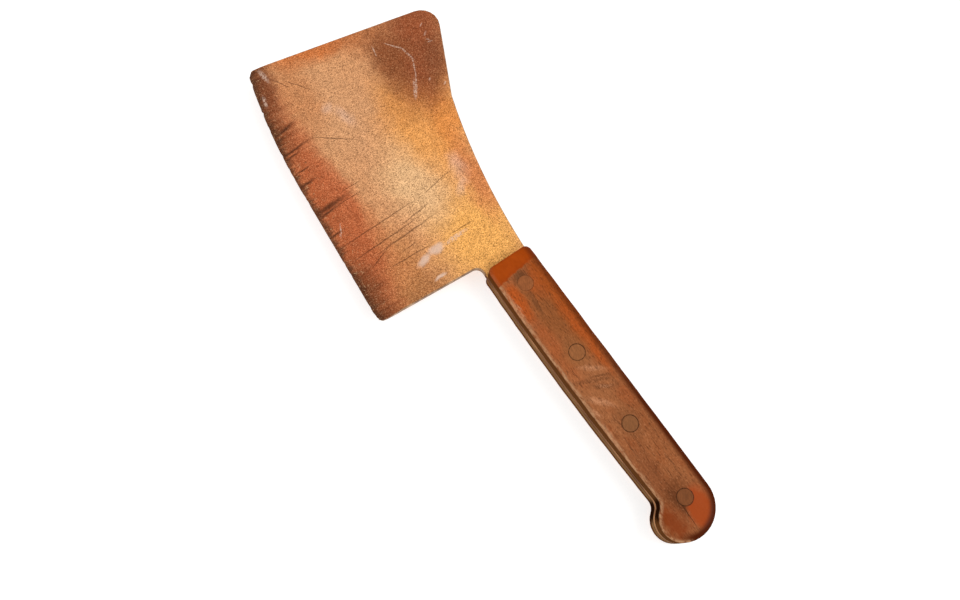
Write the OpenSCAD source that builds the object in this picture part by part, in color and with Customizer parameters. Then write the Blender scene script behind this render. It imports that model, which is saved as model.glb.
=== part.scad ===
// Butcher's meat cleaver: a forged blade with a full tang between two wooden scales,
// held by four two-part rivets. Millimetres. It lies on its lower scale: -X is the toe of
// the blade, +X the butt of the handle, +Y the spine, -Y the cutting edge and +Z up.
// Sizes are measured from the front of the scales, along the line of the rivets.

/* [Blade] */
// Thickness of the blade
blade_t = 4.2; // [3:0.1:6]
// Toe corner of the cutting edge, ahead of the handle
toe_x = 188.5; // [170:1:220]
// Heel corner of the cutting edge, ahead of the handle
heel_x = 10.8; // [9.5:0.1:13]
// Heel corner below the line of the rivets
heel_y = 81.7; // [65:1:90]
// Lean of the heel edge from square to the handle, in degrees
heel_lean = 3.9; // [1:0.1:5]
// Rise of the straight part of the cutting edge towards the toe, in degrees
edge_rise = 4.5; // [2:0.1:6]
// Length along the handle of the straight part of the cutting edge
edge_straight = 95.4; // [80:1:110]
// Radius of the curved part of the cutting edge
edge_r = 410; // [380:5:600]
// Lean of the toe edge from square to the handle, in degrees
toe_lean = 10; // [6:0.1:12]
// Slope of the upper spine, in degrees
crown_slope = 26.5; // [22:0.1:28]
// Radius of the corner between the toe edge and the spine
crown_r = 11.5; // [6:0.5:15]
// Place along the handle of the kink in the spine
kink_x = 106.8; // [95:1:120]
// Height of that kink above the line of the rivets
kink_y = 37.7; // [32:0.1:40]
// Radius of the hollow spine between the kink and the handle
spine_r = 430; // [380:5:600]
// Radius of the worn toe and heel corners
tip_r = 2.2; // [1:0.1:4]
// Radius of the fillet between the heel edge and the tang
heel_fillet = 4.5; // [2:0.1:5]

/* [Grind] */
// Width of the long bevel on each side of the cutting edge
grind_w = 15; // [10:0.5:25]
// Thickness left where the long bevel meets the short one
grind_t = 1.9; // [1.2:0.1:2.6]
// Width of the short bevel at the very edge
bevel_w = 2.6; // [1.5:0.1:4]
// Thickness of the blunted edge itself
edge_t = 0.5; // [0.3:0.1:0.8]

/* [Handle] */
// Length of the scales
handle_l = 192; // [175:0.5:210]
// Thickness of one scale at its front
scale_t = 10; // [8:0.5:13]
// Spine side of the handle above the line of the rivets
spine_y = 16.1; // [15:0.1:18]
// Belly of the handle below the line of the rivets, at its front
belly_front = 13.7; // [13:0.1:14.5]
// Belly of the handle below the line of the rivets, at the notch
belly_back = 12.8; // [12:0.1:13.5]
// Swell of the belly between those two places
belly_swell = 1.6; // [1:0.1:3]
// Thickness of the tang at the butt
tang_end_t = 3; // [2.5:0.1:4.2]
// Radius of the round over along the outside of each scale
round_r = 3; // [2:0.5:3.5]

/* [Pommel] */
// Radius of the butt
butt_r = 20.5; // [19:0.5:22]
// Radius of the beak that stops the hand
beak_r = 13; // [11:0.5:14]
// Direction in which the butt runs into the beak, in degrees below the handle's line
beak_turn = 32; // [24:1:38]
// Radius of the notch in front of the beak
notch_r = 7; // [5:0.5:9]

/* [Rivets] */
// Distance of the first rivet from the front of the scales
rivet_first = 19.5; // [15:0.5:22]
// Distance between rivets
rivet_pitch = 50; // [40:0.5:50]
// Diameter of a rivet's head
head_d = 9.5; // [8:0.5:11]
// Thickness of a rivet's head
head_t = 2.5; // [2:0.1:3]
// Diameter of the hollow rivet half
sleeve_d = 6; // [5.5:0.1:6.5]
// Diameter of the solid rivet half
pin_d = 4; // [3:0.1:4.5]

/* [Hidden] */
$fn = 120;
over = 1;              // how far a cutter reaches past what it cuts
tang_hole_play = 0.4;  // the tang's holes are drilled this much wider than the sleeves
sleeve_short = 2.5;    // the sleeve stops this far above the lower head
pin_short = 0.5;       // the pin stops this far below the end of the sleeve's bore
bore_roof = 2;         // metal left between the sleeve's bore and the top of its head
rivet_count = 4;
scale_corner_r = 4;    // rounding, seen from above, of the scales' front corners
// Straight steps that make up each curved stretch of an outline
edge_steps = 6;
spine_steps = 10;
corner_steps = 6;
belly_steps = 6;
notch_steps = 6;
beak_steps = 12;
butt_steps = 14;
rim_steps = 4;         // and the round over along the outside of each scale

blade_z = scale_t;                     // underside of the blade
mid_z = blade_z + blade_t / 2;         // middle of the blade's thickness
handle_z = 2 * scale_t + blade_t;      // top of the upper scale

function dir(a) = [cos(a), sin(a)];
function along(a, b, t) = a + (b - a) * t;
function heading(a, b) = atan2(b.y - a.y, b.x - a.x);
// Points of an arc about c, from the first or a later one
function arc(c, r, from, to, steps, first = 0) =
    [for (i = [first : steps]) c + dir(along(from, to, i / steps)) * r];
// The same for the flat arc from a to b that swells by s to the right of that line
function swell_r(a, b, s) = (pow(norm(b - a) / 2, 2) + pow(s, 2)) / (2 * s);
function swell_c(a, b, s) =
    along(a, b, 0.5) + dir(heading(a, b) + 90) * (swell_r(a, b, s) - s);
// The centre of the round that fills or eases the corner p between directions a and b
function corner_c(p, a, b, r) = p + dir((a + b) / 2) * r / sin((b - a) / 2);
function corner(p, a, b, r) = arc(corner_c(p, a, b, r), r, b + 90, a + 270, corner_steps);

// Corners of the blade, where its straight edges would meet if they weren't rounded
heel = [-heel_x, -heel_y];
heel_up = 90 - heel_lean;              // direction of the heel edge, going up to the tang
edge_dir = 180 - edge_rise;            // direction of the cutting edge, going to the toe
edge_turn = heel + dir(edge_dir) * edge_straight / cos(edge_rise);
edge_c = edge_turn + dir(edge_dir - 90) * edge_r;
toe = [-toe_x, edge_c.y - sqrt(pow(edge_r, 2) - pow(toe_x + edge_c.x, 2))];
toe_start = atan2(toe.y - edge_c.y, toe.x - edge_c.x);
// The whole cutting edge from toe to heel: the curved part in short steps, then the straight
edge = concat(arc(edge_c, edge_r, toe_start, edge_dir - 270, edge_steps), [heel]);
toe_edge_dir = heading(edge[0], edge[1]);
toe_up = 90 - toe_lean;
heel_top = heel + dir(heel_up) * (heel_y - belly_front) / sin(heel_up);
kink = [-kink_x, kink_y];
// The toe edge and the upper spine are the lines toe + dir(toe_up) and kink - dir(-crown_slope)
crown_run = ((kink.y - toe.y) + tan(crown_slope) * (kink.x - toe.x))
    / (sin(toe_up) + tan(crown_slope) * cos(toe_up));
crown = toe + dir(toe_up) * crown_run;

// The hollow spine runs from the handle to the kink in short steps of an arc
spine_end = [0, spine_y];
spine_half = norm(spine_end - kink) / 2;
spine_c = along(kink, spine_end, 0.5)
    + dir(heading(kink, spine_end) + 90) * sqrt(pow(spine_r, 2) - pow(spine_half, 2));
spine = arc(spine_c, spine_r, heading(spine_c, spine_end), heading(spine_c, kink), spine_steps);
belly_a = [0, -belly_front];

// Blade seen from above, ahead of the scales, starting in the fillet under the tang
blade_outline = concat(
    arc(corner_c(heel_top, heel_up - 180, 0, heel_fillet), heel_fillet, heel_up + 90, 90,
        corner_steps),
    [belly_a], spine,
    corner(crown, toe_up - 180, -crown_slope, crown_r),
    corner(toe, toe_edge_dir, toe_up, tip_r),
    [for (i = [1 : edge_steps]) edge[i]],
    corner(heel, heel_up, edge_dir, tip_r));

// The pommel: a large round butt that runs into a smaller beak, then a notch
butt_c = [handle_l - butt_r, spine_y - butt_r];
beak_c = butt_c + dir(-beak_turn) * (butt_r - beak_r);
notch_c_y = -belly_back - notch_r;
notch_c = [beak_c.x - sqrt(pow(beak_r + notch_r, 2) - pow(notch_c_y - beak_c.y, 2)), notch_c_y];
notch_dir = heading(beak_c, notch_c) + 360;   // seen from the beak's centre
belly_b = [notch_c.x, -belly_back];
belly_r = swell_r(belly_a, belly_b, belly_swell);
belly_c = swell_c(belly_a, belly_b, belly_swell);
belly_from = heading(belly_c, belly_a);
belly_to = heading(belly_c, belly_b);
front_dir = belly_from + 90;               // direction in which the belly leaves the front

// Tang or scale seen from above, drawn in by inset: the top of the butt, the front, then
// the belly, the notch, the beak and the butt
function handle_outline(inset, front) = concat(
    [butt_c + [0, butt_r - inset]], front,
    arc(belly_c, belly_r - inset, belly_from, belly_to, belly_steps, 1),
    arc(notch_c, notch_r + inset, 90, notch_dir - 180, notch_steps, 1),
    arc(beak_c, beak_r - inset, notch_dir, 360 - beak_turn, beak_steps, 1),
    [for (p = arc(butt_c, butt_r - inset, 360 - beak_turn, 450, butt_steps, 1))
        if (p.y < butt_c.y + butt_r - inset) p]);
function scale_front(inset) = let(r = scale_corner_r) concat(
    arc([r, spine_y - r], r - inset, 90, 180, corner_steps),
    arc(corner_c(belly_a, front_dir, 90, r), r - inset, 180, 270 + front_dir, corner_steps));

// The object's box, so that its middle can be put at the origin
xs = [for (p = concat(blade_outline, handle_outline(0, []))) p.x];
ys = [for (p = blade_outline) p.y];
middle = [(min(xs) + max(xs)) / 2, (min(ys) + max(ys)) / 2];

// Half of what the tang loses in thickness over each millimetre towards the butt
thin = (blade_t - tang_end_t) / 2 / handle_l;

// Section of the grinding waste: x runs outwards from the edge, y up from mid thickness
module grind_section() {
    polygon([[-grind_w, blade_t / 2], [-bevel_w, grind_t / 2], [0, edge_t / 2],
             [over, edge_t / 2], [over, blade_t / 2 + over], [-grind_w, blade_t / 2 + over]]);
}

// The child with its cutting edge ground on both faces, one straight step after another
module ground(steps = edge_steps + 1) {
    if (steps == 0) children();
    else difference() {
        ground(steps - 1) children();
        for (side = [0, 1]) translate([0, 0, mid_z]) mirror([0, 0, side])
            translate(edge[steps - 1]) rotate([0, 0, heading(edge[steps - 1], edge[steps])])
                rotate([90, 0, 90]) translate([0, 0, -grind_w])
                    linear_extrude(norm(edge[steps] - edge[steps - 1]) + 2 * grind_w)
                        mirror([1, 0]) grind_section();
    }
}

// The tang's thickness, seen from the side: it thins evenly towards the butt
module tang_slab() {
    back = handle_l + over;
    rotate([90, 0, 0]) linear_extrude(4 * butt_r, center = true)
        polygon([[0, blade_z], [back, blade_z + thin * back],
                 [back, blade_z + blade_t - thin * back], [0, blade_z + blade_t]]);
}

module each_rivet() {
    for (i = [0 : rivet_count - 1]) translate([rivet_first + i * rivet_pitch, 0]) children();
}

// One scale below its outer face, which is at z = 0: the lower scale is its mirror image.
// Each ring of points is [inset, height], from the tang's face up to the outer face
module scale_half() {
    face = handle_outline(0, scale_front(0));
    n = len(face);
    rims = [for (i = [0 : rim_steps]) round_r * [1 - cos(90 * i / rim_steps),
                                                 sin(90 * i / rim_steps) - 1]];
    rings = [for (ring = rims) [for (p = handle_outline(ring[0], scale_front(ring[0])))
        [p.x, p.y, ring[1]]]];
    points = concat([for (p = face) [p.x, p.y, -scale_t - thin * p.x]],
                    [for (ring = rings) for (p = ring) p]);
    difference() {
        polyhedron(points, concat(
            [[for (i = [0 : n - 1]) i]],
            [for (k = [0 : rim_steps], i = [0 : n - 1])
                [k * n + i, (k + 1) * n + i, (k + 1) * n + (i + 1) % n, k * n + (i + 1) % n]],
            [[for (i = [n : -1 : 1]) (rim_steps + 1) * n + i % n]]));
        translate([0, 0, -handle_z]) each_rivet() cylinder(d = sleeve_d, h = handle_z);
        translate([0, 0, -head_t]) each_rivet() cylinder(d = head_d, h = head_t + over);
    }
}

module blade() {
    color([0.78, 0.50, 0.30]) translate(-middle) difference() {
        ground() union() {
            translate([0, 0, blade_z]) linear_extrude(blade_t) polygon(blade_outline);
            intersection() {
                translate([0, 0, blade_z]) linear_extrude(blade_t)
                    polygon(handle_outline(0, [spine_end, belly_a]));
                tang_slab();
            }
        }
        each_rivet() cylinder(d = sleeve_d + tang_hole_play, h = handle_z);
    }
}

module upper_scale() {
    color([0.58, 0.28, 0.14]) translate([-middle.x, -middle.y, handle_z]) scale_half();
}

module lower_scale() {
    color([0.55, 0.26, 0.13]) translate(-middle) mirror([0, 0, 1]) scale_half();
}

// Hollow half of rivet i, with its head flush with the upper scale
module rivet_sleeve(i) {
    foot = head_t + sleeve_short;
    color([0.50, 0.36, 0.20])
        translate([rivet_first + (i - 1) * rivet_pitch - middle.x, -middle.y]) difference() {
            union() {
                translate([0, 0, foot]) cylinder(d = sleeve_d, h = handle_z - foot);
                translate([0, 0, handle_z - head_t]) cylinder(d = head_d, h = head_t);
            }
            cylinder(d = pin_d, h = handle_z - bore_roof);
        }
}

// Solid half of rivet i, with its head flush with the lower scale
module rivet_pin(i) {
    color([0.46, 0.33, 0.19])
        translate([rivet_first + (i - 1) * rivet_pitch - middle.x, -middle.y]) {
            cylinder(d = head_d, h = head_t);
            cylinder(d = pin_d, h = handle_z - bore_roof - pin_short);
        }
}

blade();
upper_scale();
lower_scale();
rivet_sleeve(1);  // rivet_sleeve_1
rivet_sleeve(2);  // rivet_sleeve_2
rivet_sleeve(3);  // rivet_sleeve_3
rivet_sleeve(4);  // rivet_sleeve_4
rivet_pin(1);  // rivet_pin_1
rivet_pin(2);  // rivet_pin_2
rivet_pin(3);  // rivet_pin_3
rivet_pin(4);  // rivet_pin_4
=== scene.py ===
"""An old butcher's cleaver lying on its lower scale: patinated blade, worn wooden scales,
brown rivets. The drawing's millimetres are used throughout, turned to metres by MM."""
import math

import bmesh
import bpy
from mathutils import Matrix, Vector, noise


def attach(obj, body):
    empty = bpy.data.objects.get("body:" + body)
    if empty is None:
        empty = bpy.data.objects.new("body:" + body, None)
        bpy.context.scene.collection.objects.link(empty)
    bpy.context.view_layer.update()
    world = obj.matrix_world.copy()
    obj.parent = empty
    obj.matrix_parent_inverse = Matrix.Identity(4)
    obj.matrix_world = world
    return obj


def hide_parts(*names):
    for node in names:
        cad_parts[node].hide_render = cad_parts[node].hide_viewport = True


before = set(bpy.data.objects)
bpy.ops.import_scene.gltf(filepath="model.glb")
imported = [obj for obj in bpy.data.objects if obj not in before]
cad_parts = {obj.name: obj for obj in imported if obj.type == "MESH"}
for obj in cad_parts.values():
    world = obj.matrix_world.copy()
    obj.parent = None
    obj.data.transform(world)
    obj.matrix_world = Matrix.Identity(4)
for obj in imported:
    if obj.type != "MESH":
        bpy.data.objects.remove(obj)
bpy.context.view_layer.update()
MM = 0.001

# ---------------------------------------------------------------- sizes, in millimetres
RIVET_XS = (17.55, 67.55, 117.55, 167.55)
RIVET_Y = 9.99
HEAD_R, HEAD_T = 4.75, 2.5
HEAD_DISH = ((0.0, 0.16), (1.6, 0.14), (3.4, 0.07))  # radius, depth of the worn hollow
HEAD_EASE = ((0.30, 0.0), (0.15, 0.04), (0.05, 0.12), (0.0, 0.28))  # in from the rim, depth
HEAD_SINK = 0.02             # how far a head's rim sits below the wood
GROOVE = 0.36                # reach of the grime round a head
SLEEVE_R, PIN_R = 3.0, 2.0
SLEEVE_FOOT = 5.0
SLIDE_GAP = 0.02             # play between a pin and the bore of its sleeve
BORE_END, PIN_END = 22.2, 21.7
PIN_EASE = 0.4               # eased tip of a pin

OUTER_FACE = 24.2            # height of the upper scale's face
SCALE_FRONT = -1.95          # where the scales begin
BUTT_MIDDLE = (169.55, 5.6)  # centre of the round butt
SEAT_R = HEAD_R + 0.6        # the wood is left true this far round a rivet
WEAR_DEPTH = 9.0             # a scale is worn no deeper than this below its face
WEAR_FADE = 4.0              # the wear comes in over this distance
SCALE_WEAR = ((0.0, 17.0, 0.28), (4.0, 5.0, 0.10))  # added seed, size, depth

BLADE_MID = 12.1             # middle of the blade's thickness
HEEL = (-12.75, -71.71)      # where the heel edge meets the cutting edge
EDGE_SLOPE = -0.0787         # fall of the straight cutting edge towards the heel
EDGE_TURN = -107.3           # ahead of this the cutting edge curves up
EDGE_R = 410.0
BLADE_CORNERS = (            # the two sharp corners and the way inwards from each
    ((-190.05, -49.0), (0.80, 0.60)),
    ((-12.75, -71.51), (-0.70, 0.71)),
)
CORNER_REACH, CORNER_BLUNT = 3.4, 1.3
RIM_STOP = -1.2              # the rims are eased ahead of this only, clear of the scales
RIM_EASE = 0.42
RIM_LIFT = 1.6               # a rim of the full thickness is further from the middle
EDGE_ZONE = 4.0              # nearer the cutting edge than this the rims stay sharp
SWELLS = ((3.1, 26.0, 0.07), (7.7, 8.0, 0.03))  # seed, size, depth of the forging's waves
NICK_ZONE = 1.2              # only the last of the cutting edge is nicked
NICK_SIZE, NICK_FLOOR, NICK_DEPTH = 2.3, 0.22, 1.5  # a higher floor makes them rarer
EDGE_WAVE = (5.5, 14.0, 0.15)  # seed, size, depth of the edge's slow unevenness

BARE_RIM, BARE_TANG = 1, 2   # the blade's second and third finish


def edge_height(x):
    """Height of the cutting edge in plan at x; works on numbers and on signals alike."""
    ahead = EDGE_TURN - x
    ahead = ahead.at_least(0.0) if isinstance(x, Signal) else max(ahead, 0.0)
    return HEEL[1] + (x - HEEL[0]) * EDGE_SLOPE + ahead * ahead * (0.5 / EDGE_R)


# ---------------------------------------------------------------- shader arithmetic
class Signal:
    """A number that varies over a surface. Arithmetic on it adds Math nodes."""

    def __init__(self, finish, socket):
        self.finish, self.socket = finish, socket

    def _math(self, operation, *values):
        inputs = dict(enumerate(values))
        made = self.finish.node("ShaderNodeMath", {"operation": operation}, inputs)
        return Signal(self.finish, made.outputs[0])

    def __add__(self, other):
        return self._math("ADD", self, other)

    def __sub__(self, other):
        return self._math("SUBTRACT", self, other)

    def __rsub__(self, other):
        return self._math("SUBTRACT", other, self)

    def __mul__(self, other):
        return self._math("MULTIPLY", self, other)

    __radd__, __rmul__ = __add__, __mul__

    def at_least(self, other):
        return self._math("MAXIMUM", self, other)

    def root(self):
        return self._math("SQRT", self)

    def ease(self, low, high):
        """0 at low, 1 at high, and smooth between; low may be the larger."""
        made = self.finish.node(
            "ShaderNodeMapRange",
            {"interpolation_type": "SMOOTHSTEP", "clamp": False},
            {"Value": self, "From Min": low, "From Max": high},
        )
        return Signal(self.finish, made.outputs[0])


class Finish:
    """A material whose patterns are laid out in the drawing's millimetres."""

    def __init__(self, name, **constants):
        self.material = bpy.data.materials.new(name)
        self.material.use_nodes = True
        self.tree = self.material.node_tree
        self.tree.nodes.clear()
        self.surface = self.node("ShaderNodeBsdfPrincipled", {}, constants)
        self.node("ShaderNodeOutputMaterial", {}, {"Surface": self.surface.outputs[0]})
        place = self.node("ShaderNodeTexCoord").outputs["Object"]
        scale = (1 / MM,) * 3
        scaled = self.node("ShaderNodeMapping", {}, {"Vector": place, "Scale": scale})
        self.place = scaled.outputs[0]
        split = self.node("ShaderNodeSeparateXYZ", {}, {"Vector": self.place})
        self.x, self.y, self.z = (Signal(self, out) for out in split.outputs)

    def node(self, kind, settings=None, inputs=None):
        """One node: its settings first, then the values or links of its sockets."""
        made = self.tree.nodes.new(kind)
        for key, value in (settings or {}).items():
            setattr(made, key, value)
        for key, value in (inputs or {}).items():
            socket = made.inputs[key]
            value = getattr(value, "socket", value)
            if isinstance(value, bpy.types.NodeSocket):
                self.tree.links.new(value, socket)
            elif socket.type == "RGBA" and len(value) == 3:
                socket.default_value = (*value, 1.0)
            else:
                socket.default_value = value
        return made

    def moved(self, vector, at=(0, 0, 0), turn=0.0, stretch=(1, 1, 1)):
        """The vector seen from a place, turned, with each axis divided by its stretch."""
        made = self.node(
            "ShaderNodeMapping",
            {"vector_type": "TEXTURE"},
            {
                "Vector": vector,
                "Location": at,
                "Rotation": (0, 0, math.radians(turn)),
                "Scale": stretch,
            },
        )
        return made.outputs[0]

    def grain(self, size, detail=2.0, stretch=(1, 1, 1), at=(0, 0, 0), turn=0.0, rough=0.5):
        """Noise between 0 and 1 with features of about the size given."""
        made = self.node(
            "ShaderNodeTexNoise",
            {},
            {
                "Vector": self.moved(self.place, at, turn, stretch),
                "Scale": 1.0 / size,
                "Detail": detail,
                "Roughness": rough,
            },
        )
        return Signal(self, made.outputs["Fac"])

    def ragged(self, size, reach, detail=3.0):
        """The place, pushed about by noise, for marks with ragged borders."""
        made = self.node(
            "ShaderNodeTexNoise",
            {},
            {"Vector": self.place, "Scale": 1.0 / size, "Detail": detail},
        )
        centred = self.node(
            "ShaderNodeVectorMath",
            {"operation": "SUBTRACT"},
            {0: made.outputs["Color"], 1: (0.5, 0.5, 0.5)},
        )
        pushed = self.node(
            "ShaderNodeVectorMath",
            {"operation": "MULTIPLY_ADD"},
            {0: centred.outputs[0], 1: (2 * reach,) * 3, 2: self.place},
        )
        return pushed.outputs[0]

    def patch(self, vector, x, y, long, wide, turn=0.0, soft=0.5):
        """An oval mark, long and wide to its middle border, whatever the height."""
        seen = self.moved(vector, (x, y, 0), turn, (long, wide, 1e5))
        far = self.node("ShaderNodeVectorMath", {"operation": "LENGTH"}, {0: seen})
        return Signal(self, far.outputs["Value"]).ease(1 + soft, 1 - soft)

    def stained(self, colour, vector, stains):
        """The colour with soft oval stains laid over it, one after another."""
        for x, y, long, wide, turn, soft, strength, tint in stains:
            share = self.patch(vector, x, y, long, wide, turn, soft) * strength
            colour = self.blend(share, colour, tint)
        return colour

    def strokes(self, vector, lines, soft=0.6):
        """Scratches from point to point that thin out at both ends."""
        total = None
        for x0, y0, x1, y1, wide in lines:
            turn = math.degrees(math.atan2(y1 - y0, x1 - x0))
            long = math.hypot(x1 - x0, y1 - y0) / 2
            middle = ((x0 + x1) / 2, (y0 + y1) / 2)
            mark = self.patch(vector, *middle, long, wide, turn, soft)
            total = mark if total is None else total.at_least(mark)
        return total

    def blend(self, share, under, over, way="MIX"):
        """One colour laid over another by a share between 0 and 1."""
        made = self.node(
            "ShaderNodeMix",
            {"data_type": "RGBA", "blend_type": way},
            {0: share, 6: under, 7: over},
        )
        return made.outputs[2]

    def shaded(self, colour, amount):
        """The colour made darker or lighter by a varying amount around 1."""
        grey = self.node(
            "ShaderNodeCombineXYZ", {}, {"X": amount, "Y": amount, "Z": amount}
        ).outputs[0]
        return self.blend(1.0, colour, grey, "MULTIPLY")

    def wear(self, **links):
        """Links what varies to the surface's sockets, named with _ for each space."""
        for key, value in links.items():
            socket = self.surface.inputs[key.replace("_", " ")]
            self.tree.links.new(getattr(value, "socket", value), socket)

    def relief(self, height, depth):
        """Bumps of the given depth in millimetres where the height runs from 0 to 1."""
        made = self.node(
            "ShaderNodeBump",
            {},
            {"Height": height, "Strength": 1.0, "Distance": depth * MM},
        )
        self.wear(Normal=made.outputs[0])


# ---------------------------------------------------------------- marks on the blade
# Colours are linear red, green and blue. A row of stains holds x, y, half length, half
# width, turn in degrees, softness, strength and colour. A row of strokes holds x and y of
# both ends and the half width.
TAN = (0.570, 0.268, 0.120)
RED_RUST = (0.385, 0.088, 0.028)
DARK_RUST = (0.125, 0.032, 0.010)
BLACK_RUST = (0.060, 0.019, 0.008)
PINK_BLOOM = (0.68, 0.46, 0.36)
BROWN_PIT = (0.110, 0.034, 0.010)
GOLD_SPECK = (1.00, 0.74, 0.42)
PALE_CRUST = (0.80, 0.50, 0.27)
DARK_GROOVE = (0.070, 0.022, 0.009)
SCRAPED_METAL = (0.72, 0.52, 0.41)

BLADE_STAINS = (
    (-98, 20, 46, 25, -24, 0.6, 0.95, (0.700, 0.300, 0.080)),
    (-97, 34, 24, 9, -18, 0.6, 0.75, (0.640, 0.215, 0.045)),
    (-120, 16, 15, 13, 0, 0.7, 0.65, (0.560, 0.215, 0.055)),
    (-22, 8, 32, 26, 0, 0.6, 0.95, (0.760, 0.365, 0.092)),
    (-72, -6, 26, 15, 0, 0.7, 0.85, (0.680, 0.420, 0.215)),
    (-132, -18, 34, 18, 6, 0.7, 0.60, (0.570, 0.290, 0.140)),
    (-56, 27, 24, 8, -10, 0.6, 0.85, (0.560, 0.180, 0.056)),
    (-32, -42, 26, 17, 0, 0.7, 0.85, (0.450, 0.170, 0.054)),
    (-15, -47, 8, 24, 0, 0.7, 0.70, (0.310, 0.118, 0.038)),
    (-62, -45, 30, 9, 0, 0.5, 0.70, (0.480, 0.155, 0.056)),
    (-84, -54, 66, 11.5, -5, 0.45, 0.90, (0.400, 0.092, 0.030)),
    (-96, -46, 16, 8, 0, 0.6, 0.70, (0.450, 0.115, 0.042)),
    (-160, -33, 26, 11, -6, 0.6, 0.70, (0.480, 0.185, 0.070)),
    (-183, -6, 32, 9, 79, 0.6, 0.90, (0.520, 0.140, 0.033)),
    (-172, 26, 18, 12, 75, 0.7, 0.70, (0.380, 0.120, 0.040)),
    (-124, 38, 15, 11, -30, 0.7, 0.75, (0.400, 0.125, 0.035)),
    (-147, 49, 36, 20, -30, 0.6, 0.97, (0.230, 0.056, 0.019)),
    (-166, 62, 15, 18, 0, 0.5, 0.85, (0.270, 0.066, 0.022)),
    (-151, 29, 19, 12, -12, 0.7, 0.94, (0.215, 0.058, 0.018)),
    (-134, 52, 18, 6, -28, 0.5, 0.60, (0.190, 0.055, 0.020)),
    (-174, -48, 20, 6.5, -15, 0.6, 0.92, (0.170, 0.055, 0.022)),
)
BLOOM_STROKES = (
    (-76, 24, -60, 20, 5), (-61, 20, -52, 13, 2.5),
    (-140, -17, -126, -15, 4), (-147, -23, -140, -22, 4),
)
DARK_SCRATCHES = (
    (-131.5, -40, -117, -20, 0.34), (-63.8, -10, -62.6, -68, 0.34),
    (-57.6, -6, -55.0, -26, 0.34), (-53.4, -18, -51.8, -64, 0.42),
    (-49.8, -7, -47.4, -50, 0.46), (-47.6, -42, -42.6, -56, 0.30),
    (-35.4, -20, -36.4, -49, 0.32), (-33.8, 10, -34.0, -4, 0.26),
    (-67.8, 17, -64.4, -3, 0.30), (-86.4, -34, -86.0, -58, 0.28),
    (-92.5, -30, -92.0, -46, 0.24), (-172, -33, -160, -24, 0.26),
    (-178, -40, -168, -34, 0.30), (-41.5, -24, -40.6, -38, 0.24),
)
EDGE_GOUGES = (
    (-88.9, -46, -88.2, -68, 1.5), (-86.4, -52, -85.0, -66, 0.8),
    (-108.2, -54, -108.0, -63, 0.9), (-131.4, -45, -130.4, -62, 0.7),
    (-128.0, -52, -127.6, -61, 0.5), (-146, -46, -144, -58, 0.8),
    (-116.8, -53, -116.6, -61, 0.5), (-72, -58, -71.6, -67, 0.5),
)
LOW_SCRATCHES = (            # on the lower face only
    (-150, -30, -118, -8, 0.34), (-96, -12, -90, -58, 0.40), (-82, 6, -77, -44, 0.30),
    (-44, -30, -30, 4, 0.36), (-160, 20, -140, 44, 0.30),
)
PALE_SCRATCHES = (           # the arc in the crown and the flecks above it
    (-161, 33.2, -152.5, 40.2, 0.42), (-153.5, 39.8, -143, 41.9, 0.55),
    (-144.5, 41.9, -134, 37.6, 0.50), (-135, 38, -124, 32, 0.38),
    (-130, 34, -120, 28.0, 1.1), (-163.5, 25, -157, 23.6, 0.40),
    (-161, 61.2, -159.6, 58.8, 0.45), (-155, 60, -153.0, 57.6, 0.55),
    (-150.4, 57.2, -148.6, 58.4, 0.45), (-147.0, 59.4, -147.8, 56.8, 0.45),
    (-126, 43.4, -124.6, 41.8, 0.6), (-119, 50.2, -117.6, 48.4, 0.5),
    (-187, -43, -178, -42, 1.3), (-171, -50, -164, -52, 1.0),
    (-76, -57, -69, -61, 0.40), (-72, -59, -69.6, -61.8, 0.3),
)
SCRAPES = (                  # the scraped patch by the handle
    (-31.6, -13, -30.6, -24, 2.4), (-30.6, -24, -28.0, -33, 1.9),
    (-31.2, 3, -30.6, -12, 1.3), (-15.8, -23, -15.2, -30, 1.0),
)

# ---------------------------------------------------------------- marks on the scales
LIGHT_BAND, RED_BAND = (0.370, 0.132, 0.050), (0.300, 0.100, 0.036)
RED_BLOTCH = (0.330, 0.072, 0.018)
BARE_SCUFF = (0.58, 0.260, 0.130)
DARK_CUT = (0.12, 0.042, 0.017)
DARK_PORE = (0.10, 0.032, 0.012)
PALE_FLECK = (0.56, 0.27, 0.13)
VARNISH, VARNISH_THIN = (0.310, 0.045, 0.001), (0.360, 0.054, 0.002)
VARNISH_BORDER = (0.220, 0.030, 0.003)
LOW_BUTT_VARNISH = (0.200, 0.036, 0.006)
BUTT_VARNISH = (0.320, 0.048, 0.004)
# painted shade on the rim along the spine and round the butt
PAINTED_SPINE_RIM_SHADE = (0.070, 0.012, 0.003)
# painted shade on the scales' side walls
PAINTED_WALL_SHADE = (0.090, 0.030, 0.007)
# deeper painted shade on the walls along the spine and round the butt
PAINTED_SPINE_WALL_SHADE = (0.060, 0.012, 0.004)
# a darker tone with painted shade in the notch by the butt
NOTCH_DARK_AND_SHADE = (0.012, 0.003, 0.001)
RUBBED_BELLY = (0.56, 0.310, 0.165)
# low on the walls: lighter painted shade on the upper scale, painted bounce light from the
# floor on the lower
UPPER_LOW_WALL_SHADE, LOWER_LOW_WALL_BOUNCE_LIGHT = (0.120, 0.048, 0.014), (0.340, 0.200, 0.090)
GRIME = (0.030, 0.013, 0.007)

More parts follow.
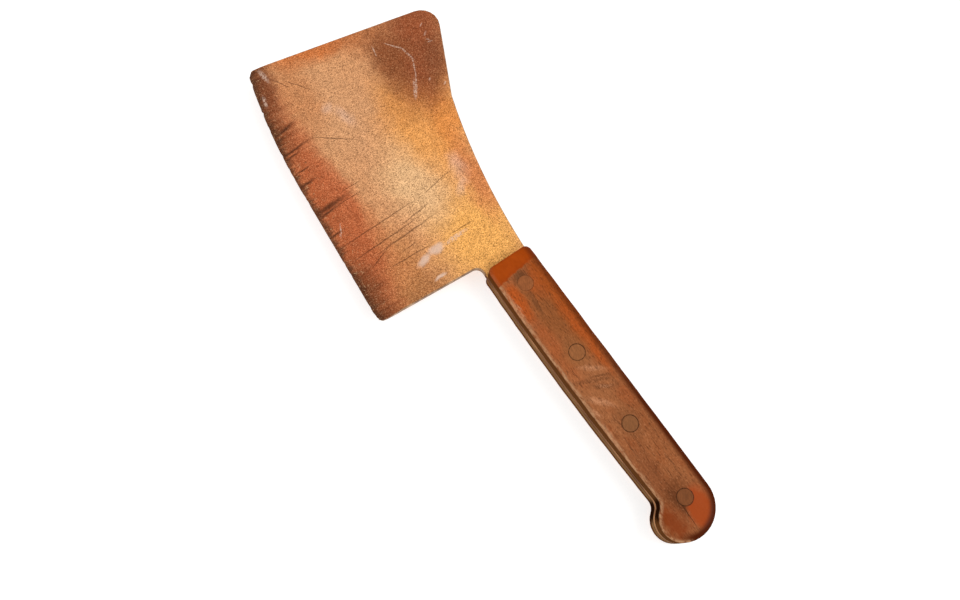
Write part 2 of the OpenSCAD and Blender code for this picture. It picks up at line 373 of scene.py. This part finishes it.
UPPER_STAINS = (
    (84, 6, 26, 16, 0, 0.6, 0.60, (0.375, 0.140, 0.054)),
    (40, 20.5, 44, 6.5, -1, 0.4, 0.88, (0.350, 0.074, 0.012)),
    (62, 19.5, 26, 2.6, 0, 0.5, 0.60, (0.440, 0.090, 0.018)),
    (25, 0.4, 13, 5.0, 0, 0.4, 0.92, (0.470, 0.090, 0.015)),
    (58, 1.0, 22, 5.0, 0, 0.6, 0.60, (0.400, 0.098, 0.027)),
    (38, 10.0, 26, 6.5, 2, 0.6, 0.90, (0.285, 0.092, 0.028)),
    (20, 13.5, 9, 5.0, 0, 0.6, 0.70, (0.390, 0.085, 0.018)),
    (12.5, 10, 3.6, 4.5, 0, 0.6, 0.85, (0.150, 0.056, 0.022)),
    (30, 8.0, 9, 1.2, -8, 0.6, 0.55, (0.170, 0.062, 0.024)),
    (67, 9.8, 8, 8, 0, 0.6, 0.75, (0.285, 0.106, 0.036)),
    (105, 18, 7, 4, 0, 0.6, 0.60, (0.360, 0.080, 0.022)),
    (128, 16, 34, 7, 0, 0.7, 0.60, (0.300, 0.098, 0.034)),
    (117, 10.5, 9, 6, 0, 0.6, 0.60, (0.235, 0.088, 0.033)),
    (152, 3.0, 22, 5, 0, 0.7, 0.65, (0.225, 0.070, 0.026)),
    (164, 8.0, 9, 8, 0, 0.6, 0.80, (0.190, 0.060, 0.021)),
    (168, 5.0, 9, 2.0, -5, 0.6, 0.60, (0.110, 0.035, 0.014)),
)
LOWER_STAINS = (
    (60, 12, 34, 9, 0, 0.6, 0.60, (0.375, 0.140, 0.054)),
    (30, 2, 20, 6, 0, 0.6, 0.60, (0.400, 0.090, 0.018)),
    (120, 8, 30, 9, 3, 0.7, 0.50, (0.225, 0.078, 0.028)),
    (160, 6, 14, 9, 0, 0.6, 0.50, (0.200, 0.066, 0.024)),
)
UPPER_SCUFFS = (
    (93, -1, 101, 5.5, 1.7), (96, 3, 104, 8.5, 1.3), (99, -3.5, 105, -1, 1.0),
    (76, 6, 84, 17, 1.2), (90, 8, 94, 14, 0.8), (24, -2.4, 30, -1.8, 0.6),
    (110, -3, 126, -3.6, 0.9), (16, -3, 40, -3.2, 0.8),
)
LOWER_SCUFFS = ((50, 2, 62, 9, 1.3), (96, 10, 108, 14, 1.1))
UPPER_CUTS = (
    (81.5, -3, 90.5, 18, 1.2), (88.5, 5, 96, 16.5, 1.4), (84.0, 8, 89, 20, 0.6),
    (90, 16.5, 97, 18.5, 0.7), (107, 15, 113, 16.5, 0.4), (122, 19.0, 138, 18.6, 0.3),
    (122, 2, 134, 1.4, 0.25), (143, 16, 158, 15.4, 0.35), (148, 11, 160, 10.6, 0.25),
    (108, 4.5, 118, 5.0, 0.25), (73, 1, 80, 1.2, 0.3), (126, 7, 136, 7.2, 0.2),
)
LOWER_CUTS = ((76, 0, 84, 12, 0.8), (130, 4, 150, 3, 0.3))
BUTT_CRACK = ((169.5, 5.8, 184.0, 5.2, 0.16),)


# ---------------------------------------------------------------- finishes
def patina_steel():
    """Old carbon steel: tan and gold mid-way, dark at the crown, rusty at the edge."""
    f = Finish("patina_steel", **{"Specular IOR Level": 0.05})
    ragged = f.ragged(14.0, 7.0)
    above_edge = f.y - edge_height(f.x)
    colour = f.stained(TAN, ragged, BLADE_STAINS)

    # the cutting edge: rusty red, then nearly black, streaked across
    streaks = f.grain(3.0, 3.0, (1, 10, 1), turn=-4, rough=0.65)
    depth = above_edge + (streaks - 0.5) * 22.0
    rusty = depth.ease(22, 4) * f.x.ease(-196, -160)
    colour = f.blend(rusty * 0.75, colour, RED_RUST)
    dark_left = depth.ease(18, 1) * f.x.ease(-112, -146)
    dark_right = depth.ease(19, 3) * f.x.ease(-66, -34)
    colour = f.blend(dark_left.at_least(dark_right) * 0.88, colour, DARK_RUST)
    brink = (above_edge + (streaks - 0.5) * 11.0).ease(5.5, 0.4)
    colour = f.blend(brink * 0.85, colour, BLACK_RUST)

    # pale bloom where the patina is thin
    bloom = f.strokes(ragged, BLOOM_STROKES, 0.8)
    colour = f.blend(bloom * 0.36, colour, PINK_BLOOM)

    # fine speckle all over, and a flaky crust at the cutting edge
    cloud = f.grain(5.0, 4.0, rough=0.6)
    speckle = f.grain(0.50, 3.0, (1, 1.4, 1), rough=0.8)
    pits = speckle.ease(0.50, 0.36)
    bright = speckle.ease(0.54, 0.66)
    colour = f.shaded(colour, (cloud * 0.60 + 0.71) * (speckle * 3.2 - 0.54))
    colour = f.blend(pits * 0.56, colour, BROWN_PIT)
    colour = f.blend(bright * 0.20, colour, GOLD_SPECK)
    crust = f.grain(1.6, 3.0, rough=0.7).ease(0.60, 0.70) * above_edge.ease(20, 2)
    colour = f.blend(crust * 0.50, colour, PALE_CRUST)

    # dark scratches, different on the two faces, and gouges at the edge, alike on both
    wobble = f.ragged(7.0, 0.8, 4.0)
    scratches = f.strokes(wobble, DARK_SCRATCHES)
    gouges = f.strokes(f.ragged(3.0, 0.9, 3.0), EDGE_GOUGES, 0.9)
    low_face = f.z.ease(BLADE_MID + 0.3, BLADE_MID - 0.3)
    low_scratches = f.strokes(wobble, LOW_SCRATCHES) * low_face
    up_face = 1 - low_face
    marks = (scratches * up_face * 0.62).at_least(gouges * 0.85)
    marks = marks.at_least(low_scratches * 0.6)
    colour = f.blend(marks, colour, DARK_GROOVE)

    # pale marks of the upper face: scratches, and the patch scraped solid near the spine
    flaky = f.grain(0.9, 2.0, rough=0.8).ease(0.42, 0.54)
    arc = f.strokes(wobble, PALE_SCRATCHES)
    scrape = f.strokes(f.ragged(5.0, 1.6, 4.0), SCRAPES, 0.6)
    solid = f.y.ease(-13, -15)
    pale = (arc * 0.68 * flaky).at_least(scrape * (solid * 0.75).at_least(flaky * 0.7))
    pale = pale * up_face
    colour = f.blend(pale, colour, SCRAPED_METAL)

    rough = 0.50 + cloud * 0.14 + pits * 0.14 - bright * 0.08 + rusty * 0.08
    f.wear(Base_Color=colour, Roughness=rough, Metallic=0.06 + pale * 0.4)
    f.relief(speckle * 0.5 + cloud * 0.5 - marks * 0.9, 0.14)
    return f.material


def rubbed_steel():
    """The blade's rims, where handling keeps the metal bare and pale."""
    f = Finish("rubbed_steel", **{"Specular IOR Level": 0.1})
    worn = f.grain(5.0, 4.0, rough=0.65)
    fine = f.grain(0.8, 2.0)
    under_crown = f.y.ease(20, 40) * f.x.ease(-130, -150)
    colour = f.blend(worn.ease(0.35, 0.65), (0.20, 0.090, 0.038), (0.46, 0.290, 0.165))
    colour = f.blend(under_crown * 0.35, colour, (0.36, 0.22, 0.15))
    near_edge = (f.y - edge_height(f.x)).ease(8, 0)
    colour = f.blend(near_edge * worn.ease(0.62, 0.4), colour, (0.14, 0.070, 0.038))
    colour = f.shaded(colour, 0.80 + fine * 0.40)
    f.wear(Base_Color=colour, Roughness=0.32 + worn * 0.24, Metallic=0.15 + worn * 0.25)
    f.relief(worn + fine * 0.4, 0.05)
    return f.material


def tang_steel():
    """The tang's rim between the scales: polished by the hand, darkened in its pores."""
    f = Finish("tang_steel", **{"Specular IOR Level": 0.02})
    worn = f.grain(9.0, 4.0, (3, 1, 1))
    colour = f.blend(worn.ease(0.3, 0.7), (0.14, 0.048, 0.016), (0.48, 0.230, 0.100))
    f.wear(Base_Color=colour, Roughness=0.50 + worn * 0.20)
    f.relief(worn, 0.03)
    return f.material


def worn_wood(name, face, upper):
    """Red-brown hardwood with its grain along the handle, worn matt between the remains of
    an orange varnish at both ends. face is the height of its outer face."""
    f = Finish(name, **{"Specular IOR Level": 0.0, "Coat Roughness": 0.3})
    ragged = f.ragged(7.0, 2.4, 4.0)
    wobble = f.ragged(5.0, 1.1)
    depth = face - f.z if upper else f.z - face  # below the outer face
    slide = (0, 0, 0) if upper else (40, 13, 0)  # so that the two scales' grain differs
    stains, scuffed, sliced, low_wall_lighting = (
        (UPPER_STAINS, UPPER_SCUFFS, UPPER_CUTS, UPPER_LOW_WALL_SHADE) if upper
        else (LOWER_STAINS, LOWER_SCUFFS, LOWER_CUTS, LOWER_LOW_WALL_BOUNCE_LIGHT)
    )

    fibres = f.grain(0.8, 4.0, (11, 1, 1), slide, rough=0.65)
    bands = f.grain(5.0, 3.0, (12, 1, 1), slide)
    blotch = f.grain(8.0, 4.0, (1.6, 1, 1), slide, rough=0.65)
    mottle = f.grain(0.9, 3.0, (1.4, 1, 1), slide, rough=0.75)
    pores = f.grain(0.55, 2.0, (6, 1, 1), slide, rough=0.7).ease(0.44, 0.34)

    colour = f.blend(bands.ease(0.30, 0.70), RED_BAND, LIGHT_BAND)
    colour = f.blend(blotch.ease(0.48, 0.70) * 0.55, colour, RED_BLOTCH)
    colour = f.stained(colour, ragged, stains)

    # worn by use: pale scuffs, dark cuts, a crack in the butt
    scuffs = f.strokes(wobble, scuffed, 0.8)
    cuts = f.strokes(wobble, sliced, 0.8)
    crack = f.strokes(f.ragged(3.0, 0.4), BUTT_CRACK)
    patchy = 0.35 + mottle.ease(0.36, 0.60) * 0.65
    colour = f.blend(scuffs * patchy * 0.75, colour, BARE_SCUFF)
    colour = f.blend(cuts * (1.3 - patchy) * 0.80, colour, DARK_CUT)
    colour = f.shaded(colour, 0.25 + fibres * 0.60 + mottle * 0.70)
    colour = f.blend(pores * 0.62, colour, DARK_PORE)
    worn = f.x.ease(60, 120) * 0.6 + 0.4
    flecks = mottle.ease(0.56, 0.68) * worn
    colour = f.blend(flecks * 0.26, colour, PALE_FLECK)

    # what is left of the varnish: a band at the front, two patches on the butt
    split = f.node("ShaderNodeSeparateXYZ", {}, {"Vector": f.ragged(4.0, 2.6, 4.0)})
    pushed = Signal(f, split.outputs[0]) + f.y * 0.13  # x, made uneven and leaning
    band = pushed.ease(11.2, 9.6)
    butt = f.patch(ragged, 177, 13.5, 12.5, 7.5, -14, 0.3)
    low_butt = f.patch(ragged, 174, -4.5, 12, 7, 12, 0.45)
    low_butt = low_butt * (0.4 + blotch.ease(0.4, 0.6) * 0.6)
    tint = f.blend(blotch.ease(0.35, 0.65), VARNISH, VARNISH_THIN)
    tint = f.blend(pushed.ease(7.0, 10.6) * band * 0.40, tint, VARNISH_BORDER)
    colour = f.blend(band * 0.96, colour, tint)
    colour = f.blend(low_butt * 0.85, colour, LOW_BUTT_VARNISH)
    colour = f.blend(butt * 0.90, colour, BUTT_VARNISH)
    varnish = band.at_least(butt).at_least(low_butt * 0.6)

    # rims and walls: painted shade on the walls and on the rims along the spine and round
    # the butt, painted light low on the walls, rubbed pale on the belly
    # painted shade on the rim along the spine and round the butt, stronger towards the butt
    past = (f.x - BUTT_MIDDLE[0]).at_least(0.0)
    across = f.y - BUTT_MIDDLE[1]
    from_middle = (past * past + across * across).root()
    back = from_middle.ease(14.6, 18.4) * f.y.ease(-9, 1)
    strength = 0.66 + f.x.ease(50, 120) * 0.32
    colour = f.blend(back * strength, colour, PAINTED_SPINE_RIM_SHADE)
    rim = depth.ease(0.10, 1.4)
    belly = f.y.ease(1.0, -2.5) * (1 - band * 0.8)
    rubbed = f.grain(2.0, 4.0, (2.4, 1, 1), rough=0.75)
    pale = belly * rim * depth.ease(3.6, 2.0) * rubbed.ease(0.36, 0.58)
    # painted shade: the walls are darkened
    walls = depth.ease(1.8, 3.2)
    colour = f.blend(walls * 0.90, colour, PAINTED_WALL_SHADE)
    # deeper painted shade on the walls along the spine and round the butt
    colour = f.blend(walls * back * 0.8, colour, PAINTED_SPINE_WALL_SHADE)
    # a darker tone with painted shade in the notch by the butt
    hollow = f.patch(ragged, 164.5, -5.0, 6.5, 4.5, -50, 0.4)
    colour = f.blend(walls * hollow * 0.95, colour, NOTCH_DARK_AND_SHADE)
    colour = f.blend(pale * 0.80, colour, RUBBED_BELLY)
    # low on the walls, in patches: lighter painted shade on the upper scale, painted bounce
    # light from the floor on the lower
    low_wall = depth.ease(4.6, 8.2) * (1 - back)
    low_wall = low_wall * (0.15 + rubbed * 0.75) * (1 - hollow)
    colour = f.blend(low_wall, colour, low_wall_lighting)

    # grime in the joint along the tang and round every rivet
    joint = depth.ease(9.3, 10.0) * 0.85
    ring = None
    for x in RIVET_XS:
        found = f.patch(f.place, x, RIVET_Y, HEAD_R + GROOVE, HEAD_R + GROOVE, 0, 0.06)
        ring = found if ring is None else ring.at_least(found)
    ring = ring * (0.40 + mottle.ease(0.35, 0.6) * 0.60)
    ring = ring * (0.20 + f.x.ease(25, 60) * 0.80)
    grime = joint.at_least(ring).at_least(crack * 0.7)
    colour = f.blend(grime, colour, GRIME)

    f.wear(
        Base_Color=colour,
        Roughness=(0.62 + bands * 0.10 - fibres * 0.05) * (1 - varnish * 0.45),
        Coat_Weight=varnish * (1 - walls) * 0.08,
    )
    f.relief(
        (fibres * 0.5 + mottle * 0.5 + blotch * 0.4 - pores * 0.5) * (1 - varnish * 0.7)
        - cuts * 1.2 - scuffs * 0.5 - crack * 2.0 + varnish * 0.4,
        0.16,
    )
    return f.material


def tarnished_rivet():
    """Rivet metal as brown as the wood round it, darker towards the butt, scratched."""
    f = Finish("tarnished_rivet", **{"Specular IOR Level": 0.1})
    scratch = f.grain(0.5, 3.0, (6, 1, 1), turn=-25, rough=0.65)
    cloud = f.grain(2.4, 3.0)
    colour = (0.290, 0.092, 0.028)
    for from_x, to_x, tint in (
        (40, 60, (0.290, 0.106, 0.034)),
        (90, 110, (0.230, 0.088, 0.030)),
        (140, 160, (0.185, 0.060, 0.018)),
    ):
        colour = f.blend(f.x.ease(from_x, to_x), colour, tint)
    colour = f.shaded(colour, (0.45 + scratch * 0.90) * (0.70 + cloud * 0.60))
    f.wear(Base_Color=colour, Roughness=0.50 + cloud * 0.15, Metallic=0.15 + scratch * 0.15)
    f.relief(scratch + cloud * 0.6, 0.04)
    return f.material


# ---------------------------------------------------------------- pieces
def drawn_solid(node):
    """A merged working copy of a drawn part, with its flat faces whole again."""
    work = bmesh.new()
    work.from_mesh(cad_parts[node].data)
    bmesh.ops.remove_doubles(work, verts=work.verts, dist=1e-6)
    bmesh.ops.dissolve_limit(
        work, angle_limit=math.radians(0.2), verts=work.verts, edges=work.edges
    )
    return work


def cross_cut(work, axis, start, stop, step):
    """Adds a row of vertices all round at even steps along an axis, for later shaping."""
    normal = Vector([1.0 if i == axis else 0.0 for i in range(3)])
    count = int((stop - start) / step)
    for i in range(count + 1):
        point = normal * ((start + i * step) * MM)
        bmesh.ops.bisect_plane(
            work, geom=work.verts[:] + work.edges[:] + work.faces[:],
            dist=1e-7, plane_co=point, plane_no=normal,
        )


def finish_piece(work, name, materials, nodes, crease):
    """Turns a working mesh into a piece of the cleaver, smooth but for edges that turn by
    more than crease degrees."""
    bmesh.ops.triangulate(work, faces=[face for face in work.faces if len(face.verts) > 4])
    for face in work.faces:
        face.smooth = True
    for edge in work.edges:
        if len(edge.link_faces) == 2:
            edge.smooth = edge.calc_face_angle(0.0) < math.radians(crease)
    mesh = bpy.data.meshes.new(name)
    work.to_mesh(mesh)
    work.free()
    piece = bpy.data.objects.new(name, mesh)
    bpy.context.scene.collection.objects.link(piece)
    for material in materials:
        mesh.materials.append(material)
    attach(piece, "root")
    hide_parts(*nodes)
    return piece


def rise_and_fall(x, y, seed, size):
    """Slow seeded unevenness between -1 and 1."""
    return noise.noise(Vector((x / size, y / size, seed)))


def forge_blade():
    """The blade with eased rims, a slightly uneven forged surface, two blunted corners and
    a nicked edge."""
    work = drawn_solid("blade")
    rims = []
    for edge in work.edges:
        if len(edge.link_faces) != 2 or max(v.co.x for v in edge.verts) > RIM_STOP * MM:
            continue
        walls = [face for face in edge.link_faces if abs(face.normal.z) < 0.2]
        flats = [face for face in edge.link_faces if abs(face.normal.z) > 0.9]
        if len(walls) != 1 or len(flats) != 1:
            continue
        middle = (edge.verts[0].co + edge.verts[1].co) / 2 / MM
        above = middle.y - edge_height(middle.x)
        if abs(middle.z - BLADE_MID) > RIM_LIFT and above > EDGE_ZONE:
            rims.append(edge)
    eased = bmesh.ops.bevel(
        work, geom=rims, offset=RIM_EASE * MM, affect="EDGES", segments=2, profile=0.5,
        material=-1, clamp_overlap=True,
    )
    for face in eased["faces"]:
        face.material_index = BARE_RIM
    cross_cut(work, 0, -188, -4, 2.0)
    cross_cut(work, 1, -70, 70, 4.0)
    for vert in work.verts:
        x, y, z = vert.co / MM
        if x > SCALE_FRONT - 1.0:
            continue
        above = y - edge_height(x)
        side = 1.0 if z > BLADE_MID else -1.0
        if abs(z - BLADE_MID) > 0.3:
            swell = sum(rise_and_fall(x, y, side * seed, size) * depth
                        for seed, size, depth in SWELLS)
            vert.co.z -= side * abs(swell) * MM
        for corner, inward in BLADE_CORNERS:
            near = max(0.0, 1.0 - math.dist((x, y), corner) / CORNER_REACH)
            blunt = near * CORNER_BLUNT
            vert.co += Vector((*inward, 0.0)) * (blunt * MM)
        if above < NICK_ZONE:
            nick = noise.noise(Vector((x / NICK_SIZE, 4.2, 1.7))) - NICK_FLOOR
            nick = max(nick, 0.0) * NICK_DEPTH
            seed, size, depth = EDGE_WAVE
            vert.co.y += (nick + abs(rise_and_fall(x, 0.0, seed, size)) * depth) * MM
    for face in work.faces:
        if face.material_index == BARE_RIM or abs(face.normal.z) >= 0.5:
            continue
        in_handle = face.calc_center_median().x / MM > SCALE_FRONT
        face.material_index = BARE_TANG if in_handle else BARE_RIM
    return finish_piece(
        work, "forged_blade", (patina_steel(), rubbed_steel(), tang_steel()),
        ("blade",), 20.0,
    )


def carve_scale(node, face_height, upper):
    """A scale with its rim and faces worn a little out of true, tight round the rivets."""
    seed = 2.3 if upper else 8.9
    core = face_height / 2 + 6.0  # a height inside the scale, which the wear heads for
    work = drawn_solid(node)
    cross_cut(work, 0, 0, 188, 2.0)
    cross_cut(work, 1, -10, 24, 2.0)
    for vert in work.verts:
        x, y, z = vert.co / MM
        below = abs(z - face_height)
        from_rivet = min(math.hypot(x - rx, y - RIVET_Y) for rx in RIVET_XS)
        if from_rivet < SEAT_R or below > WEAR_DEPTH:
            continue
        ease = min(1.0, (from_rivet - SEAT_R) / WEAR_FADE)
        ease *= min(1.0, (WEAR_DEPTH - below) / WEAR_FADE)
        worn = sum(abs(rise_and_fall(x, y, seed + added, size)) * depth
                   for added, size, depth in SCALE_WEAR)
        inward = Vector((0.0, RIVET_Y - y, core - z)).normalized()
        if below < 0.2:
            inward = Vector((0.0, 0.0, -1.0 if upper else 1.0))
        vert.co += inward * (worn * ease * MM)
    side = "upper" if upper else "lower"
    material = worn_wood(f"worn_wood_{side}", face_height, upper)
    return finish_piece(work, f"{side}_scale_wood", (material,), (node,), 30.0)


def turned(profile, x):
    """A closed solid of revolution about a rivet's axis, from radius and height pairs."""
    work = bmesh.new()
    points = [
        work.verts.new((x * MM + r * MM, RIVET_Y * MM, h * MM)) for r, h in profile
    ]
    line = [work.edges.new(pair) for pair in zip(points, points[1:])]
    bmesh.ops.spin(
        work, geom=points + line, cent=(x * MM, RIVET_Y * MM, 0), axis=(0, 0, 1),
        angle=math.tau, steps=48, use_merge=True, use_duplicate=False,
    )
    bmesh.ops.remove_doubles(work, verts=work.verts, dist=1e-7)
    bmesh.ops.dissolve_degenerate(work, edges=work.edges, dist=1e-8)
    bmesh.ops.recalc_face_normals(work, faces=work.faces)
    return work


def rivet_head(face, inward):
    """Radius and height pairs from a head's middle over its eased rim to its underside."""
    dish = [(r, face + inward * depth) for r, depth in HEAD_DISH]
    top = face + inward * HEAD_SINK
    rim = [(HEAD_R - r, top + inward * depth) for r, depth in HEAD_EASE]
    return dish + rim + [(HEAD_R, face + inward * HEAD_T)]


def set_rivets(material):
    """Each rivet's two halves, with eased heads that leave a fine groove in the wood."""
    bore = PIN_R + SLIDE_GAP
    sleeve = rivet_head(OUTER_FACE, -1.0) + [
        (SLEEVE_R, OUTER_FACE - HEAD_T), (SLEEVE_R, SLEEVE_FOOT), (bore, SLEEVE_FOOT),
        (bore, BORE_END), (0.0, BORE_END),
    ]
    pin = rivet_head(0.0, 1.0) + [
        (PIN_R, HEAD_T), (PIN_R, PIN_END - PIN_EASE), (PIN_R - PIN_EASE, PIN_END),
        (0.0, PIN_END),
    ]
    for i, x in enumerate(RIVET_XS, 1):
        for profile, half, node in ((sleeve, "hollow", "sleeve"), (pin, "solid", "pin")):
            finish_piece(
                turned(profile, x), f"rivet_{i}_{half}_half", (material,),
                (f"rivet_{node}_{i}",), 40.0,
            )


# ---------------------------------------------------------------- studio
def aim(thing, at, up=Vector((0, 0, 1))):
    """Turns a lamp or camera to look at a place with a chosen direction upwards."""
    back = (thing.location - at).normalized()
    right = up.cross(back).normalized()
    upward = back.cross(right)
    thing.matrix_world = Matrix.Translation(thing.location) @ Matrix(
        (right, upward, back)
    ).transposed().to_4x4()


def set_studio():
    """A pale floor, an even white room, two big soft lamps, and the camera overhead."""
    eye, target = Vector((0.1019, -0.1458, 0.5370)), Vector((0.0092, -0.0156, 0.0142))
    camera_up = math.radians(144.2)
    camera = bpy.data.objects.new("camera", bpy.data.cameras.new("camera"))
    camera.data.lens, camera.data.sensor_width = 34.9, 36.0
    camera.data.clip_start = 0.01
    camera.location = eye
    bpy.context.scene.collection.objects.link(camera)
    bpy.context.scene.camera = camera
    aim(camera, target, Vector((math.cos(camera_up), math.sin(camera_up), 0)))

    work = bmesh.new()
    bmesh.ops.create_grid(work, x_segments=1, y_segments=1, size=6.0)
    mesh = bpy.data.meshes.new("floor")
    work.to_mesh(mesh)
    work.free()
    floor = bpy.data.objects.new("floor", mesh)
    bpy.context.scene.collection.objects.link(floor)
    paper = bpy.data.materials.new("white_paper")
    paper.use_nodes = True
    sheet = paper.node_tree.nodes["Principled BSDF"]
    for key, value in (
        ("Base Color", (0.60, 0.60, 0.60, 1)), ("Roughness", 0.9),
        ("Specular IOR Level", 0.0), ("Emission Color", (1, 1, 1, 1)),
        ("Emission Strength", 0.60),
    ):
        sheet.inputs[key].default_value = value
    floor.data.materials.append(paper)

    world = bpy.data.worlds.new("white_room")
    world.use_nodes = True
    sky = world.node_tree.nodes["Background"]
    sky.inputs["Color"].default_value = (1.0, 0.99, 0.97, 1)
    sky.inputs["Strength"].default_value = 0.70
    bpy.context.scene.world = world

    for name, where, size, power in (
        ("soft_lamp", (0.45, 0.75, 1.10), 0.9, 9.0),
        ("fill_lamp", (-0.55, -0.70, 0.90), 1.2, 3.5),
    ):
        lamp = bpy.data.objects.new(name, bpy.data.lights.new(name, "AREA"))
        lamp.data.shape, lamp.data.size, lamp.data.energy = "SQUARE", size, power
        lamp.location = Vector(where)
        bpy.context.scene.collection.objects.link(lamp)
        aim(lamp, Vector((0, 0, 0)))
    bpy.context.scene.view_settings.view_transform = "Standard"


forge_blade()
carve_scale("upper_scale", OUTER_FACE, True)
carve_scale("lower_scale", 0.0, False)
set_rivets(tarnished_rivet())
set_studio()
